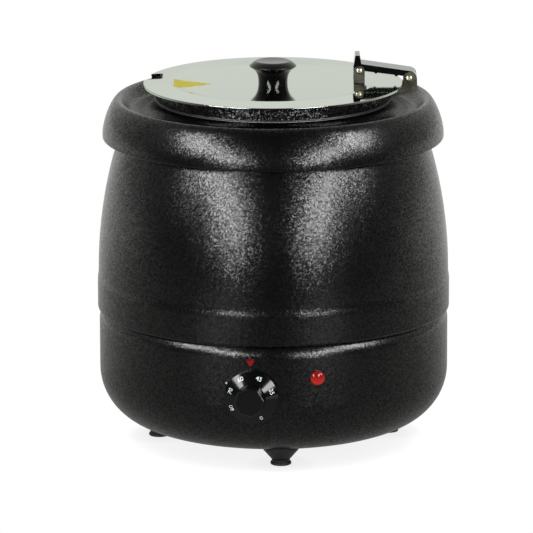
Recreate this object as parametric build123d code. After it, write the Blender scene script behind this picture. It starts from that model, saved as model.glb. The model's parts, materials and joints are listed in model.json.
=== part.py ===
from build123d import *
import math
import os

os.makedirs("parts", exist_ok=True)

# Soup kettle, about ten litres. Millimetres. Z is up, the table is z = 0, and the Z axis is
# the kettle's own axis. -Y is the front (dial side) and +X is the lid hinge side.

# ---- Outer body -------------------------------------------------------------------------
BODY_R = 170.0              # skirt of the upper shell, the widest part of the kettle
SHELL_T = 1.0               # upper shell sheet
SKIRT_Z = 128.4             # lower edge of the upper shell
SKIRT_EDGE_R = 3.0          # rolled lower edge
SWAGE_Z0 = 156.0            # pressed step that stiffens the shell
SWAGE_Z1 = 166.0
SWAGE_STEP = 1.0
BARREL_R = 423.0            # radius of the barrel curve above the step
BARREL_TOP_Z = 302.0
BASE_R = 168.5              # straight wall of the base
BASE_T = 1.2
BASE_Z = 17.0               # underside of the base
BASE_CURVE_R = 53.5         # big rounding between wall and underside
BASE_WALL_Z = 117.3         # top of the straight wall
SHOULDER_R = 18.3           # rounding under the seam
SHOULDER_ANGLE = 36.0
UPSTAND_Z = 142.0           # spigot of the base inside the upper shell
BASE_OPENING_R = 80.0

# ---- Rim, well and pot ------------------------------------------------------------------
RIM_R = 164.1
RIM_T = 1.5
RIM_Z = 296.0               # lower edge of the rim
CREST_R = 149.5
CREST_Z = 334.2
DISH_Z = 322.5              # floor of the shallow dish inside the crest
DISH_R = 134.0
NECK_R = 113.2
NECK_Z = 332.4              # top of the neck, where the well hangs
NECK_FILLET = 9.0
NECK_HOLE_R = 110.2
WELL_R = 109.0
WELL_T = 0.8
WELL_Z = 52.0
WELL_CORNER = 10.0
WELL_FLANGE_R = 113.0
POT_R = 107.2
POT_T = 0.8
POT_Z = 56.0
POT_CORNER = 12.0
POT_FLANGE_R = 113.8
POT_BEAD = 1.5              # height and twice the roundness of the rolled pot edge

# ---- Lid and its ring -------------------------------------------------------------------
RING_R = 113.0
RING_T = 1.0
RING_TOP_Z = 347.9
RING_LIP_R = 104.6
RING_LIP_Z = 326.0
LID_R = 124.5
LID_T = 1.2
LID_Z = 348.4               # flat centre of the lid
LID_FLAT_R = 90.0
LID_CROWN_R = 99.0          # raised crown round the flat centre
LID_CROWN_Z = 350.0
LID_EDGE_Z = 348.6
LID_HEM_Z = 346.9
NOTCH_X = -106.2            # inner end of the ladle notch
NOTCH_Y = 26.5              # middle of the notch
NOTCH_W = 28.0
NOTCH_LIP_Z = 343.6         # lower edge of the turned-down lip round the notch
LID_RIVET_Y = 5.0
KNOB_SCREW_R = 2.5
KNOB_SCREW_DEPTH = 12.0
KNOB_WASHER_T = 1.0

# ---- Hinge ------------------------------------------------------------------------------
PIVOT_X = 130.4             # pivot of the arm on the ring
PIVOT_Z = 354.4
LID_PIVOT_X = 82.6          # pivot of the lid on the arm
LID_PIVOT_Z = 361.8
STRIP = 1.2                 # hinge strip steel
ARM_HALF_W = 11.6
EAR_IN = 11.75              # inner face of the ears either side of the arm
EAR_OUT = 13.0
PIN_R = 2.0
LID_PIN_R = 1.75
RIVET_R = 1.5
RIVET_HEAD_R = 2.6
RIVET_TAIL_R = 2.4
RUN_GAP = 0.05              # radial running clearance
FIT_GAP = 0.02              # riveted pins in their ears
HOLE_GAP = 0.1              # sheet holes round screws
ARM_SLOPE = 8.4             # fall of the arm towards the pivot, degrees
ARM_KNUCKLE_R = 7.0
ARM_DEPTH = 5.7

# ---- Controls ---------------------------------------------------------------------------
DIAL_ANGLE = 263.0          # direction of the dial axis, degrees from +X
DIAL_Z = 80.8
DIAL_R = 25.5
DIAL_LENGTH = 20.5
DIAL_GAP = 1.7              # between the wall and the back of the dial
GRIP_R = 14.4
GRIP_SIDES = 8
SHAFT_R = 3.0
LAMP_ANGLE = 284.1
LAMP_Z = 98.4
LAMP_R = 6.8
LAMP_NECK_R = 5.0
LAMP_TAG_Z = -37.0
INDEX_ANGLE = 262.5
INDEX_Z = 113.8
INDEX_PIN_R = 1.4

# ---- Feet and mains lead ----------------------------------------------------------------
FOOT_CIRCLE_R = 111.7
FOOT_ANGLES = [3.4, 93.4, 183.4, 273.4]
FOOT_TOP_R = 19.0
FOOT_TIP_R = 8.75
PAD_R = 10.0
PAD_T = 2.5
FOOT_SCREW_R = 2.5
FOOT_POCKET_R = 5.5         # pocket in the foot for the screw head and the pad's plug
FOOT_POCKET_Z = 9.0
COVER_R = 92.0
COVER_T = 1.2
COVER_SCREW_CIRCLE_R = 86.0
COVER_SCREW_ANGLES = [45, 135, 225, 315]
COVER_SCREW_R = 2.0
GLAND_ANGLE = 90.0
GLAND_Z = 78.0
GLAND_THREAD_R = 7.4
GLAND_HEX_R = 10.5
LEAD_R = 3.5
PLUG_R = 18.0
PLUG_PIN_X = 9.5
PLUG_PIN_R = 2.4
PLUG_PIN_ROOT = 5.0         # depth of the pins inside the plug
SLEEVE_Z = 46.0             # length of the plug with its grooved sleeve

# ---- Inside -----------------------------------------------------------------------------
ELEMENT_CIRCLE_R = 78.0
ELEMENT_R = 4.0
ELEMENT_GAP = 15.0          # half of the angle left open between the element's ends
CLAMP_R = 88.0
CLAMP_T = 1.2
TIE_R = 3.0
LEG_PIN_Z = 29.0            # lower ends of the element's terminal pins
JACKET_R = 128.0
JACKET_Z0 = 145.0
JACKET_Z1 = 312.0
STAT_W = 34.0
STAT_H = 38.0
STAT_FRONT = 164.5          # distance of the thermostat's faces from the kettle axis
STAT_BACK = 139.0
STAT_SCREW_X = 14.0
STAT_SCREW_R = 1.5
STAT_BUSH_R = 5.0
SHAFT_FLAT = 1.8            # distance of the shaft's flat from its axis
CUTOUT_X = 34.0
CUTOUT_Y = -40.0
CUTOUT_TAG_X = 5.0
CUTOUT_TAG_DROP = 16.0      # how far the cut-out's tags hang below the clamp plate
BULB_ANGLE = 248.0
BULB_R = 3.2
BULB_Z0 = 64.0
BULB_Z1 = 128.0
TERMINAL_ANGLE = 120.0
TERMINAL_XS = (-11, 0, 11)
TERMINAL_SCREW_R = 2.2
WIRE_R = 1.1

ON_END = (Align.CENTER, Align.CENTER, Align.MIN)


# ---- Shared helpers ---------------------------------------------------------------------
def polar(radius, angle, z=0.0):
    """Point at a radius and an angle in degrees round the kettle axis."""
    a = math.radians(angle)
    return (radius * math.cos(a), radius * math.sin(a), z)


def wall_frame(angle, radius, z):
    """Frame on the wall: x along the wall, y up and z outwards."""
    a = math.radians(angle)
    return Plane(
        origin=polar(radius, angle, z),
        x_dir=(-math.sin(a), math.cos(a), 0),
        z_dir=(math.cos(a), math.sin(a), 0),
    )


def polygon(*points):
    """Flat face with straight sides."""
    return make_face(Polyline(*points, close=True))


def sheet(path, thickness):
    """Section of a sheet that lies to the left of an open path."""
    return make_face(offset(path, amount=thickness, side=Side.LEFT, kind=Kind.ARC))


def turned(section):
    """Solid turned about the Z axis from a section of (radius, height)."""
    return revolve(Plane.XZ * section, Axis.Z)


def disc(radius, z0, z1, bore=0.0):
    """Upright cylinder between two heights, with an optional bore."""
    body = Pos(0, 0, z0) * Cylinder(radius, z1 - z0, align=ON_END)
    if bore:
        body -= Pos(0, 0, z0) * Cylinder(bore, z1 - z0, align=ON_END)
    return body


def block(low, high):
    """Box between two opposite corners."""
    size = [b - a for a, b in zip(low, high)]
    centre = [(a + b) / 2 for a, b in zip(low, high)]
    return Pos(*centre) * Box(*size)


def hexagon(radius, z0, z1, bore):
    """Upright hexagon nut."""
    nut = Pos(0, 0, z0) * extrude(RegularPolygon(radius, 6), z1 - z0)
    return nut - disc(bore, z0, z1)


def cross_pin(x, z, radius, half_length):
    """Cylinder along Y through a point of the hinge."""
    return Pos(x, 0, z) * Rot(90, 0, 0) * Cylinder(radius, 2 * half_length)


def rod_along(path, radius):
    """Round rod or wire that follows a path."""
    return sweep(Plane(origin=path @ 0, z_dir=path % 0) * Circle(radius), path=path)


def group(solids):
    """Several separate solids kept as one node."""
    return Compound(children=list(solids))


# ---- Outer body -------------------------------------------------------------------------
def barrel_radius(z):
    """Outer radius of the upper shell above its pressed step."""
    return BODY_R - SWAGE_STEP - BARREL_R + math.sqrt(BARREL_R**2 - (z - SWAGE_Z1) ** 2)


def upper_shell():
    """Barrel-shaped steel casing: turned-in foot, straight skirt, pressed step, barrel curve."""
    foot_r = BODY_R - SKIRT_EDGE_R
    upstand_r = base_upstand_radius()
    barrel_mid = (SWAGE_Z1 + BARREL_TOP_Z) / 2
    swage_r = BODY_R - SWAGE_STEP
    half_h = (SWAGE_Z1 - SWAGE_Z0) / 2
    bend_r = (half_h**2 + (SWAGE_STEP / 2) ** 2) / SWAGE_STEP
    bend = math.degrees(math.asin(half_h / bend_r))
    neck_r = barrel_radius(BARREL_TOP_Z)
    seat_z = DISH_Z - RIM_T
    seat_r = 128.0
    path = Wire([
        Line((upstand_r + 0.1, SKIRT_Z), (foot_r, SKIRT_Z)),
        CenterArc((foot_r, SKIRT_Z + SKIRT_EDGE_R), SKIRT_EDGE_R, -90, 90),
        Line((BODY_R, SKIRT_Z + SKIRT_EDGE_R), (BODY_R, SWAGE_Z0)),
        CenterArc((BODY_R - bend_r, SWAGE_Z0), bend_r, 0, bend),
        CenterArc((swage_r + bend_r, SWAGE_Z1), bend_r, 180 + bend, -bend),
        ThreePointArc(
            (swage_r, SWAGE_Z1),
            (barrel_radius(barrel_mid), barrel_mid),
            (neck_r, BARREL_TOP_Z),
        ),
        Line((neck_r, BARREL_TOP_Z), (neck_r, seat_z)),
        Line((neck_r, seat_z), (seat_r, seat_z)),
    ])
    return turned(sheet(path, SHELL_T))


def base_upstand_radius():
    """Outer radius of the spigot that the base puts up inside the upper shell."""
    return BASE_R - SHOULDER_R + SHOULDER_R * math.cos(math.radians(SHOULDER_ANGLE))


def base_path(inner_r):
    """Outer outline of the base, from its underside to the top of its spigot."""
    curve_x = BASE_R - BASE_CURVE_R
    curve_z = BASE_Z + BASE_CURVE_R
    up_r = base_upstand_radius()
    up_z = BASE_WALL_Z + SHOULDER_R * math.sin(math.radians(SHOULDER_ANGLE))
    return [
        Line((inner_r, BASE_Z), (curve_x, BASE_Z)),
        CenterArc((curve_x, curve_z), BASE_CURVE_R, -90, 90),
        Line((BASE_R, curve_z), (BASE_R, BASE_WALL_Z)),
        CenterArc((BASE_R - SHOULDER_R, BASE_WALL_Z), SHOULDER_R, 0, SHOULDER_ANGLE),
        Line((up_r, up_z), (up_r, UPSTAND_Z)),
    ]


def base_shell():
    """Pressed steel base with the openings for the controls, lead, feet and cover."""
    body = turned(sheet(Wire(base_path(BASE_OPENING_R)), BASE_T))
    deep = 20.0
    stat_r = STAT_BUSH_R + 2 * HOLE_GAP
    stat_screw_r = STAT_SCREW_R + HOLE_GAP
    lamp_r = LAMP_NECK_R + RUN_GAP
    index_r = INDEX_PIN_R + RUN_GAP
    wall_holes = [
        (DIAL_ANGLE, 0, DIAL_Z, stat_r),
        (DIAL_ANGLE, -STAT_SCREW_X, DIAL_Z, stat_screw_r),
        (DIAL_ANGLE, STAT_SCREW_X, DIAL_Z, stat_screw_r),
        (LAMP_ANGLE, 0, LAMP_Z, lamp_r),
        (INDEX_ANGLE, 0, INDEX_Z, index_r),
        (GLAND_ANGLE, 0, GLAND_Z, GLAND_THREAD_R + HOLE_GAP),
    ]
    for angle, along, z, radius in wall_holes:
        body -= wall_frame(angle, BASE_R, z) * Pos(along, 0, 0) * Cylinder(radius, deep)
    for angle in FOOT_ANGLES:
        body -= Pos(polar(FOOT_CIRCLE_R, angle, BASE_Z)) * Cylinder(FOOT_SCREW_R + HOLE_GAP, deep)
    for angle in COVER_SCREW_ANGLES:
        hole = Cylinder(COVER_SCREW_R + HOLE_GAP, deep)
        body -= Pos(polar(COVER_SCREW_CIRCLE_R, angle, BASE_Z)) * hole
    return body


def bottom_cover():
    """Round service cover under the base, with a ring of vents."""
    top = BASE_Z
    low = BASE_Z - COVER_T
    cover = disc(COVER_R, low, top, TIE_R + 2 * HOLE_GAP)
    for angle in COVER_SCREW_ANGLES:
        hole = Cylinder(COVER_SCREW_R + HOLE_GAP, 4 * COVER_T)
        cover -= Pos(polar(COVER_SCREW_CIRCLE_R, angle, low)) * hole
    vent_r = 3.5
    for vent_circle, count in ((40.0, 8), (60.0, 12)):
        for i in range(count):
            cover -= Pos(polar(vent_circle, 360 * i / count, low)) * Cylinder(vent_r, 4 * COVER_T)
    return cover


def rim_outline(inset):
    """Rim outline, moved into the sheet by an inset: edge, side, crest, dish, fillet, neck."""
    side_r = RIM_R - inset
    side_z = 299.0
    crest_z = CREST_Z - inset
    dish_z = DISH_Z - inset
    neck_r = NECK_R - inset
    fillet = NECK_FILLET + inset
    fillet_r = neck_r + fillet
    fillet_z = dish_z + fillet
    lean = 14.0 - inset
    crest_out, crest_in = 5.0, 7.0
    return [
        Line((side_r, RIM_Z + RIM_T), (side_r, side_z)),
        Bezier(
            (side_r, side_z),
            (side_r, side_z + lean),
            (CREST_R + crest_out, crest_z),
            (CREST_R, crest_z),
        ),
        Bezier(
            (CREST_R, crest_z),
            (CREST_R - crest_in, crest_z),
            (DISH_R + crest_in, dish_z),
            (DISH_R, dish_z),
        ),
        Line((DISH_R, dish_z), (fillet_r, dish_z)),
        CenterArc((fillet_r, fillet_z), fillet, -90, -90),
        Line((neck_r, fillet_z), (neck_r, NECK_Z - inset)),
        Line((neck_r, NECK_Z - inset), (NECK_HOLE_R, NECK_Z - inset)),
    ]


def top_rim():
    """Overhanging rim: rounded drip edge, domed crest, shallow dish and neck for the well."""
    edge = CenterArc((RIM_R - RIM_T, RIM_Z + RIM_T), RIM_T, -90, 90)
    edge_return = Line((RIM_R - RIM_T, RIM_Z), (RIM_R - RIM_T, RIM_Z + RIM_T))
    hole = Line((NECK_HOLE_R, NECK_Z), (NECK_HOLE_R, NECK_Z - RIM_T))
    outline = [edge, edge_return, hole] + rim_outline(0) + rim_outline(RIM_T)
    return turned(make_face(Wire(outline)))


# ---- Well and heating -------------------------------------------------------------------
def deep_vessel(radius, thickness, bottom_z, corner, flange_z, flange_r):
    """Deep drawn vessel: flat bottom, rounded corner, straight wall and outward flange."""
    path = Wire([
        Line((0, bottom_z), (radius - corner, bottom_z)),
        CenterArc((radius - corner, bottom_z + corner), corner, -90, 90),
        Line((radius, bottom_z + corner), (radius, flange_z)),
        Line((radius, flange_z), (flange_r, flange_z)),
    ])
    return turned(sheet(path, thickness))


def heat_well():
    """Dry-heat well that hangs on the rim's neck and surrounds the pot."""
    return deep_vessel(WELL_R, WELL_T, WELL_Z, WELL_CORNER, NECK_Z, WELL_FLANGE_R)


def insulation_jacket():
    """Mineral wool sleeve round the well."""
    return disc(JACKET_R, JACKET_Z0, JACKET_Z1, WELL_R + RUN_GAP)


def element_ends():
    """Angles of the element's two ends, either side of the rear."""
    return (GLAND_ANGLE + ELEMENT_GAP, GLAND_ANGLE - ELEMENT_GAP)


def heating_element():
    """Tubular element, an open ring under the well with a terminal leg at each end."""
    z = WELL_Z - ELEMENT_R
    leg_z = 34.0
    pin_r = 1.5
    turn = 360 - 2 * ELEMENT_GAP
    section = Pos(ELEMENT_CIRCLE_R, z) * Circle(ELEMENT_R)
    ring = revolve(Plane.XZ * section, Axis.Z, turn)
    body = Rot(0, 0, element_ends()[0]) * ring
    for angle in element_ends():
        x, y, _ = polar(ELEMENT_CIRCLE_R, angle)
        body += Pos(x, y, z) * Sphere(ELEMENT_R)
        body += Pos(x, y, 0) * disc(ELEMENT_R, leg_z, z)
        body += Pos(x, y, 0) * disc(pin_r, LEG_PIN_Z, leg_z)
    return body


def element_clamp():
    """Round plate that holds the element up against the well and shields the base."""
    top = WELL_Z - 2 * ELEMENT_R
    plate = disc(CLAMP_R, top - CLAMP_T, top, TIE_R + 2 * HOLE_GAP)
    for angle in element_ends():
        plate -= Pos(polar(ELEMENT_CIRCLE_R, angle, top)) * Cylinder(ELEMENT_R + 1, 4 * CLAMP_T)
    return plate


def tie_bolt():
    """Stud welded under the well. It draws the well, casing and base together."""
    head_r = 9.0
    head_t = 2.0
    low_z = 7.5
    return disc(head_r, WELL_Z - head_t, WELL_Z) + disc(TIE_R, low_z, WELL_Z)


def tie_nuts():
    """One nut under the clamp plate, and a washer and nut under the cover."""
    nut_r = 5.8
    nut_h = 5.0
    washer_r = 9.0
    bore = TIE_R + FIT_GAP
    clamp_z = WELL_Z - 2 * ELEMENT_R - CLAMP_T
    cover_z = BASE_Z - COVER_T
    washer_t = 1.2
    return group([
        hexagon(nut_r, clamp_z - nut_h, clamp_z, bore),
        disc(washer_r, cover_z - washer_t, cover_z, bore),
        hexagon(nut_r, cover_z - washer_t - nut_h, cover_z - washer_t, bore),
    ])


def thermal_cutout():
    """Safety cut-out clipped under the clamp plate, with two flat terminals."""
    top = WELL_Z - 2 * ELEMENT_R - CLAMP_T
    can_r, can_h = 8.0, 8.0
    flange_r, flange_t = 11.0, 1.0
    tag_t, tag_w = 0.8, 6.0
    low = top - CUTOUT_TAG_DROP
    can = disc(can_r, top - can_h, top) + disc(flange_r, top - flange_t, top)
    for side in (-1, 1):
        x = side * CUTOUT_TAG_X
        can += block((x - tag_t / 2, -tag_w / 2, low), (x + tag_t / 2, tag_w / 2, top - can_h))
    return Pos(CUTOUT_X, CUTOUT_Y, 0) * can


# ---- Controls ---------------------------------------------------------------------------
def thermostat_body():
    """Thermostat case behind the wall, with the threaded bush that guides its shaft."""
    depth = STAT_FRONT - STAT_BACK
    frame = wall_frame(DIAL_ANGLE, STAT_BACK, DIAL_Z)
    corner_r = 3.0
    case = extrude(RectangleRounded(STAT_W, STAT_H, corner_r), depth)
    bush_end = BASE_R + 0.8 - STAT_BACK
    case += Cylinder(STAT_BUSH_R, bush_end, align=ON_END)
    bore_start = 10.0
    case -= Pos(0, 0, bore_start) * Cylinder(SHAFT_R + RUN_GAP, bush_end, align=ON_END)
    screw_depth = 7.0
    for side in (-1, 1):
        hole = Cylinder(STAT_SCREW_R + FIT_GAP, screw_depth + 3, align=ON_END)
        case -= Pos(side * STAT_SCREW_X, 0, depth - screw_depth) * hole
    return frame * case


def thermostat_screws():
    """Two small screws through the wall into the thermostat, hidden by the dial."""
    seat = math.sqrt(BASE_R**2 - STAT_SCREW_X**2) + 0.25
    depth = 6.5
    head_r, head_h = 2.8, 1.3
    frame = wall_frame(DIAL_ANGLE, 0, DIAL_Z)
    start = STAT_FRONT - depth
    shank = Pos(0, 0, start) * Cylinder(STAT_SCREW_R, seat + head_h / 2 - start, align=ON_END)
    head = Pos(0, 0, seat) * Cylinder(head_r, head_h, align=ON_END)
    return group([frame * Pos(side * STAT_SCREW_X, 0, 0) * (shank + head) for side in (-1, 1)])


def thermostat_shaft():
    """Round shaft of the thermostat with a flat for the dial."""
    start = STAT_BACK + 11.0
    in_dial = 14.0
    end = BASE_R + DIAL_GAP + in_dial
    flat_from = BASE_R + 1.5
    shaft = Pos(0, 0, start) * Cylinder(SHAFT_R, end - start, align=ON_END)
    shaft -= block((-SHAFT_R, SHAFT_FLAT, flat_from), (SHAFT_R, SHAFT_R + 1, end + 1))
    return wall_frame(DIAL_ANGLE, 0, DIAL_Z) * shaft


def temperature_dial():
    """Moulded dial: conical skirt for the scale and an eight-sided tapered grip."""
    cone_z = 8.6
    edge_z = 2.2
    hollow_z, boss_r, wall_t = 1.4, 9.0, 3.0
    grip_turn, grip_taper, grip_bevel = 8.0, 1.5, 0.9
    skirt = turned(polygon((0, 0), (DIAL_R, 0), (DIAL_R, edge_z), (GRIP_R, cone_z), (0, cone_z)))
    skirt -= disc(DIAL_R - wall_t, 0, hollow_z, boss_r)
    grip_face = Rot(0, 0, grip_turn) * RegularPolygon(GRIP_R + 0.4, GRIP_SIDES)
    grip = Pos(0, 0, edge_z) * extrude(grip_face, DIAL_LENGTH - edge_z, taper=grip_taper)
    grip = chamfer(grip.faces().sort_by(Axis.Z)[-1].edges(), grip_bevel)
    dial = skirt + grip
    bore_depth = 14.5
    bore = Cylinder(SHAFT_R + FIT_GAP, bore_depth, align=ON_END)
    bore -= block(
        (-SHAFT_R - 1, SHAFT_FLAT + FIT_GAP, 0),
        (SHAFT_R + 1, SHAFT_R + 2, bore_depth),
    )
    return wall_frame(DIAL_ANGLE, BASE_R + DIAL_GAP, DIAL_Z) * (dial - bore)


def dial_index():
    """Small red pointer set in the wall above the dial, pointing down at the scale."""
    half_w, up, down = 4.7, 3.4, 4.8
    corner_r, height, slope = 1.3, 1.8, 30
    pin_z = -4.0
    face = fillet(polygon((-half_w, up), (0, -down), (half_w, up)).vertices(), corner_r)
    jewel = extrude(face, height, taper=slope)
    pin = Pos(0, 0, pin_z) * Cylinder(INDEX_PIN_R, 0.2 - pin_z, align=ON_END)
    return wall_frame(INDEX_ANGLE, BASE_R, INDEX_Z) * (jewel + pin)


def pilot_lamp_lens():
    """Domed red lens with a spigot into the lamp body."""
    dome_h = 5.2
    shoulder_h = 3.8
    rim_h = 1.0
    spigot_r = 3.9
    spigot_z = -6.0
    lens = make_face([
        Line((0, spigot_z), (spigot_r, spigot_z)),
        Line((spigot_r, spigot_z), (spigot_r, 0)),
        Line((spigot_r, 0), (LAMP_R, 0)),
        Line((LAMP_R, 0), (LAMP_R, rim_h)),
        Bezier((LAMP_R, rim_h), (LAMP_R, shoulder_h), (4.0, dome_h), (0, dome_h)),
        Line((0, dome_h), (0, spigot_z)),
    ])
    return wall_frame(LAMP_ANGLE, BASE_R, LAMP_Z) * turned(lens)


def pilot_lamp_body():
    """Lamp housing behind the wall with a neck through it and two flat terminals."""
    bore_r = 3.95
    case_r, case_top, case_low = 6.5, -9.0, -30.0
    tag_t, tag_w = 0.8, 4.0
    body = disc(LAMP_NECK_R, case_top, -0.1, bore_r) + disc(case_r, case_low, case_top)
    for x in (-3.0, 3.0):
        body += block((x - tag_t / 2, -tag_w / 2, LAMP_TAG_Z), (x + tag_t / 2, tag_w / 2, case_low))
    return wall_frame(LAMP_ANGLE, BASE_R, LAMP_Z) * body


def pilot_lamp_nut():
    """Thin nut that clamps the lamp to the inside of the wall."""
    nut_r, low, top = 8.0, -5.4, -1.8
    nut = hexagon(nut_r, low, top, LAMP_NECK_R + FIT_GAP)
    return wall_frame(LAMP_ANGLE, BASE_R, LAMP_Z) * nut


def thermostat_bulb():
    """Sensing bulb beside the well and the capillary tube to the thermostat."""
    centre_r = WELL_R + RUN_GAP + BULB_R
    x, y, _ = polar(centre_r, BULB_ANGLE)
    bulb = Pos(x, y, 0) * disc(BULB_R, BULB_Z0, BULB_Z1)
    out = polar(1, DIAL_ANGLE)
    start = (x, y, BULB_Z0 + 0.5)
    low = polar(centre_r + 4, BULB_ANGLE + 4, BULB_Z0 - 14)
    end = polar(STAT_BACK, DIAL_ANGLE, DIAL_Z - 12)
    tube_r = 0.8
    path = Spline(start, low, end, tangents=[(0, 0, -1), out])
    return bulb + rod_along(path, tube_r)


def bulb_clip():
    """Spring saddle that presses the bulb against the well."""
    strip_t = 0.8
    wing_w = 6.8
    clip_h = 12.0
    grip_in = BULB_R + RUN_GAP
    grip_out = grip_in + strip_t
    face = Circle(grip_out) - Circle(grip_in)
    face -= Pos(0, -grip_out) * Rectangle(4 * grip_out, 2 * grip_out)
    for side in (-1, 1):
        leg_x = side * (grip_in + grip_out) / 2
        wing_x = side * (grip_out + (wing_w - strip_t) / 2)
        face += Pos(leg_x, -grip_in / 2) * Rectangle(strip_t, grip_in)
        face += Pos(wing_x, strip_t / 2 - grip_in) * Rectangle(wing_w, strip_t)
    clip = extrude(face, clip_h)
    a = math.radians(BULB_ANGLE)
    frame = Plane(
        origin=polar(WELL_R + RUN_GAP + grip_in, BULB_ANGLE, (BULB_Z0 + BULB_Z1 - clip_h) / 2),
        x_dir=(-math.sin(a), math.cos(a), 0),
        z_dir=(0, 0, -1),
    )
    return frame * Pos(0, 0, -clip_h) * clip


# ---- Mains lead and wiring --------------------------------------------------------------
def terminal_frame():
    """Floor frame of the terminal block: x round the kettle, y outwards."""
    a = math.radians(TERMINAL_ANGLE)
    place_r = 97.0
    origin = polar(place_r, TERMINAL_ANGLE, BASE_Z + BASE_T)
    return Plane(origin=origin, x_dir=(math.sin(a), -math.cos(a), 0), z_dir=(0, 0, 1))


def terminal_block():
    """Three-way terminal block on the floor of the base."""
    foot_h, top_h, screw_depth = 7.0, 15.0, 4.0
    body = block((-18, -8, 0), (18, 8, foot_h)) + block((-17, -5, foot_h), (17, 5, top_h))
    for x in TERMINAL_XS:
        body -= Pos(x, 0, top_h) * Cylinder(TERMINAL_SCREW_R + FIT_GAP, 2 * screw_depth)
    return terminal_frame() * body


def terminal_screws():
    """Brass screws of the terminal block."""
    low, height = 11.0, 3.0
    slot_w, slot_depth = 0.7, 1.3
    screw = Cylinder(TERMINAL_SCREW_R, height, align=ON_END)
    screw -= Pos(0, 0, height) * Box(slot_w, 3 * TERMINAL_SCREW_R, 2 * slot_depth)
    return group([terminal_frame() * Pos(x, 0, low) * screw for x in TERMINAL_XS])


def cable_gland():
    """Strain relief for the lead: hexagon, domed nose and thread through the wall."""
    bore = LEAD_R + RUN_GAP
    seat_z, hex_h = 0.35, 6.0
    thread_z = -10.0
    nose_r, nose_mid_r, nose_tip_r = 8.6, 8.2, 5.6
    nose_mid_z, nose_z = 9.0, 12.0
    body = Pos(0, 0, seat_z) * extrude(RegularPolygon(GLAND_HEX_R, 6), hex_h)
    body += turned(polygon(
        (0, hex_h),
        (nose_r, hex_h),
        (nose_mid_r, nose_mid_z),
        (nose_tip_r, nose_z),
        (0, nose_z),
    ))
    body += disc(GLAND_THREAD_R, thread_z, hex_h / 2)
    body -= disc(bore, thread_z - 1, nose_z + 1)
    return wall_frame(GLAND_ANGLE, BASE_R, GLAND_Z) * body


def gland_nut():
    """Lock nut of the strain relief, inside the wall."""
    low, top = -6.4, -2.0
    nut = hexagon(GLAND_HEX_R, low, top, GLAND_THREAD_R + FIT_GAP)
    return wall_frame(GLAND_ANGLE, BASE_R, GLAND_Z) * nut


def lead_line():
    """How far behind the kettle axis the lead hangs: as far as the dial stands in front."""
    return -temperature_dial().bounding_box().min.Y - LEAD_R


def plug_place():
    """Centre of the plug's front face. The plug lies on the table behind the kettle."""
    face_x = -122.0
    behind = 1.0
    above_table = 0.2
    return (face_x, lead_line() + LEAD_R - PLUG_R - behind, PLUG_R + above_table)


def mains_lead():
    """Lead from inside the base, out through the gland, down and along the table."""
    y = lead_line()
    start_y = BASE_R - 22.0
    exit_y = BASE_R + 12.0
    bend = y - exit_y
    floor_z = LEAD_R + 0.1
    turn = 16.0
    px, py, pz = plug_place()
    entry = px + SLEEVE_Z
    s = math.sqrt(0.5)
    path = Wire([
        Line((0, start_y, GLAND_Z), (0, exit_y, GLAND_Z)),
        ThreePointArc(
            (0, exit_y, GLAND_Z),
            (0, exit_y + bend * s, GLAND_Z - bend * (1 - s)),
            (0, y, GLAND_Z - bend),
        ),
        Line((0, y, GLAND_Z - bend), (0, y, floor_z + turn)),
        ThreePointArc(
            (0, y, floor_z + turn),
            (-turn * (1 - s), y, floor_z + turn * (1 - s)),
            (-turn, y, floor_z),
        ),
        Spline((-turn, y, floor_z), (entry, py, pz), tangents=[(-1, 0, 0), (-1, 0, 0)]),
    ])
    return rod_along(path, LEAD_R)


def mains_plug():
    """Round moulded plug with a grooved sleeve for the lead."""
    bevel = 1.0
    body_z, neck_z = 17.0, 34.0
    neck_r, tip_r = 7.0, 5.6
    groove_r, groove_w = 4.6, 1.0
    lead_depth = 10.1
    plug = turned(make_face([
        Line((0, 0), (PLUG_R - bevel, 0)),
        Line((PLUG_R - bevel, 0), (PLUG_R, bevel)),
        Line((PLUG_R, bevel), (PLUG_R, body_z)),
        Bezier((PLUG_R, body_z), (PLUG_R, 26), (7.5, 24), (neck_r, neck_z)),
        Line((neck_r, neck_z), (tip_r, SLEEVE_Z)),
        Line((tip_r, SLEEVE_Z), (0, SLEEVE_Z)),
        Line((0, SLEEVE_Z), (0, 0)),
    ]))
    for z in (35, 38, 41, 44):
        plug -= disc(PLUG_R, z - groove_w / 2, z + groove_w / 2, groove_r)
    plug -= disc(LEAD_R + FIT_GAP, SLEEVE_Z - lead_depth, SLEEVE_Z + 1)
    for side in (-1, 1):
        plug -= Pos(side * PLUG_PIN_X, 0, 0) * disc(PLUG_PIN_R + FIT_GAP, -1, PLUG_PIN_ROOT)
    return plug_frame() * plug


def plug_frame():
    """Frame of the plug: z runs back from the face towards the lead."""
    return Plane(origin=plug_place(), x_dir=(0, 1, 0), z_dir=(1, 0, 0))


def plug_pins():
    """The plug's two round pins."""
    tip_z = -18.2
    pin = disc(PLUG_PIN_R, tip_z, PLUG_PIN_ROOT) + Pos(0, 0, tip_z) * Sphere(PLUG_PIN_R)
    return group([plug_frame() * Pos(side * PLUG_PIN_X, 0, 0) * pin for side in (-1, 1)])


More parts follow.
